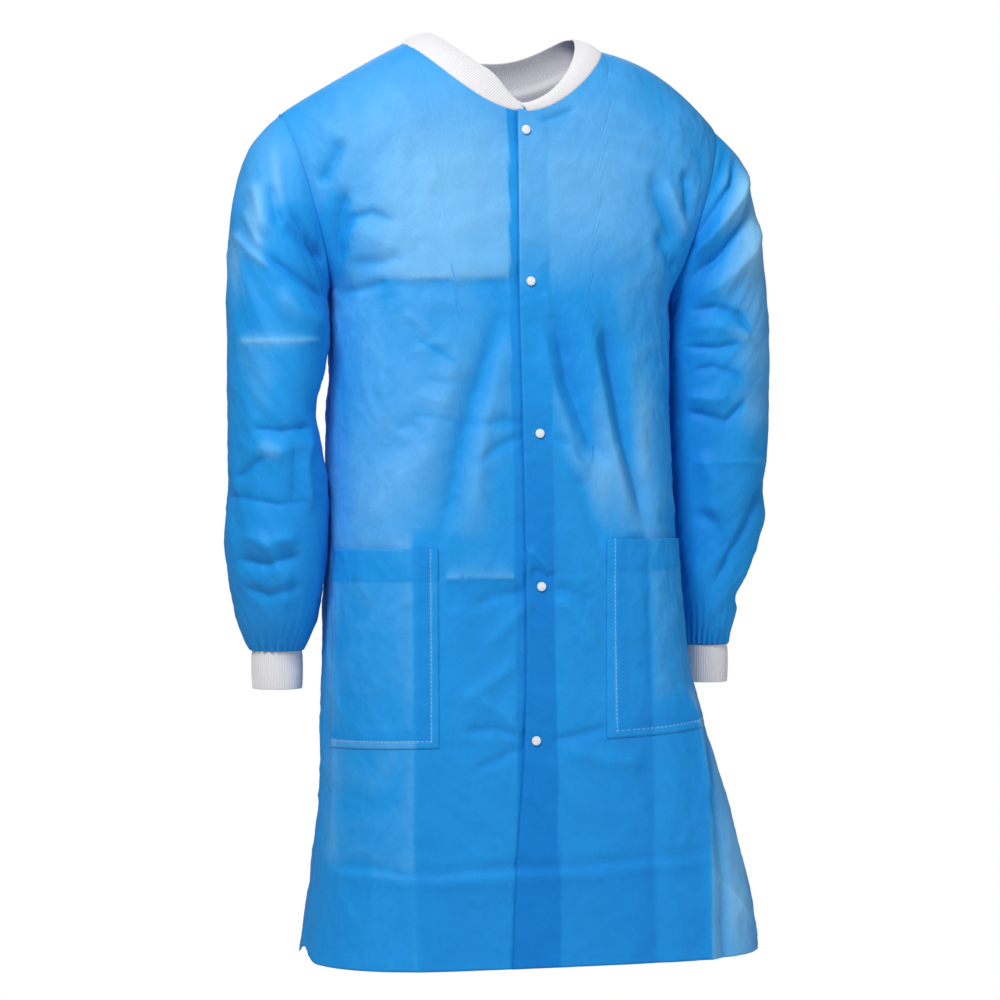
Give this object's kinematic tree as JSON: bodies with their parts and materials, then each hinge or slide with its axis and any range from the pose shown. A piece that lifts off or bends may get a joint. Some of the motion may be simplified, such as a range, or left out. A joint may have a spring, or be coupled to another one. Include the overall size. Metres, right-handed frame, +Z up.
{
  "type": "lab coat",
  "caption": "Knee-length disposable lab coat as worn, with knitted V collar and cuffs, patch pockets and press snaps; fronts open and sleeves lift.",
  "frame": {"origin": "midway between the two neck points, where the shoulder seams meet the collar", "axes": "+X towards the wearer's left, -Y to the front, +Z up along the wearer's trunk"},
  "size_m": [0.668, 0.3054, 1.0758],
  "materials": {
    "coat_cloth": "light blue non-woven polypropylene cloth, matt with a faint sheen",
    "knit": "white ribbed knit",
    "snap_plastic": "white moulded plastic snaps"
  },
  "bodies": {
    "torso": {"back_panel": "coat_cloth", "left_front_side": "coat_cloth", "right_front_side": "coat_cloth", "collar_back": "knit", "left_pocket": "coat_cloth", "right_pocket": "coat_cloth"},
    "left_front_flap": {"left_front": "coat_cloth", "left_front_facing": "coat_cloth", "left_collar_tip": "knit", "snap_cap_1": "snap_plastic", "snap_cap_2": "snap_plastic", "snap_cap_3": "snap_plastic", "snap_cap_4": "snap_plastic", "snap_cap_5": "snap_plastic", "snap_socket_1": "snap_plastic", "snap_socket_2": "snap_plastic", "snap_socket_3": "snap_plastic", "snap_socket_4": "snap_plastic", "snap_socket_5": "snap_plastic"},
    "right_front_flap": {"right_front": "coat_cloth", "right_front_facing": "coat_cloth", "right_collar_tip": "knit", "snap_stud_1": "snap_plastic", "snap_stud_2": "snap_plastic", "snap_stud_3": "snap_plastic", "snap_stud_4": "snap_plastic", "snap_stud_5": "snap_plastic", "snap_back_cap_1": "snap_plastic", "snap_back_cap_2": "snap_plastic", "snap_back_cap_3": "snap_plastic", "snap_back_cap_4": "snap_plastic", "snap_back_cap_5": "snap_plastic"},
    "left_arm": {"left_sleeve": "coat_cloth", "left_cuff": "knit"},
    "right_arm": {"right_sleeve": "coat_cloth", "right_cuff": "knit"}
  },
  "joints": [
    {"name": "left_front_opening", "type": "hinge", "parent": "torso", "child": "left_front_flap", "pos_m": [0.108, -0.06, 0], "axis": [-0.0282, 0.0612, 0.9977], "range_deg": [0, 90]},
    {"name": "right_front_opening", "type": "hinge", "parent": "torso", "child": "right_front_flap", "pos_m": [-0.108, -0.06, 0], "axis": [0.0282, 0.0612, 0.9977], "range_deg": [-45, 0]},
    {"name": "left_arm_lift", "type": "hinge", "parent": "torso", "child": "left_arm", "pos_m": [0.266, 0.003, -0.088], "axis": [0, -1, 0], "range_deg": [0, 75]},
    {"name": "right_arm_lift", "type": "hinge", "parent": "torso", "child": "right_arm", "pos_m": [-0.266, 0.003, -0.088], "axis": [0, 1, 0], "range_deg": [0, 75]}
  ],
  "couplings": [
    {"joint": "right_front_opening", "follows": "left_front_opening", "ratio": -0.5}
  ]
}
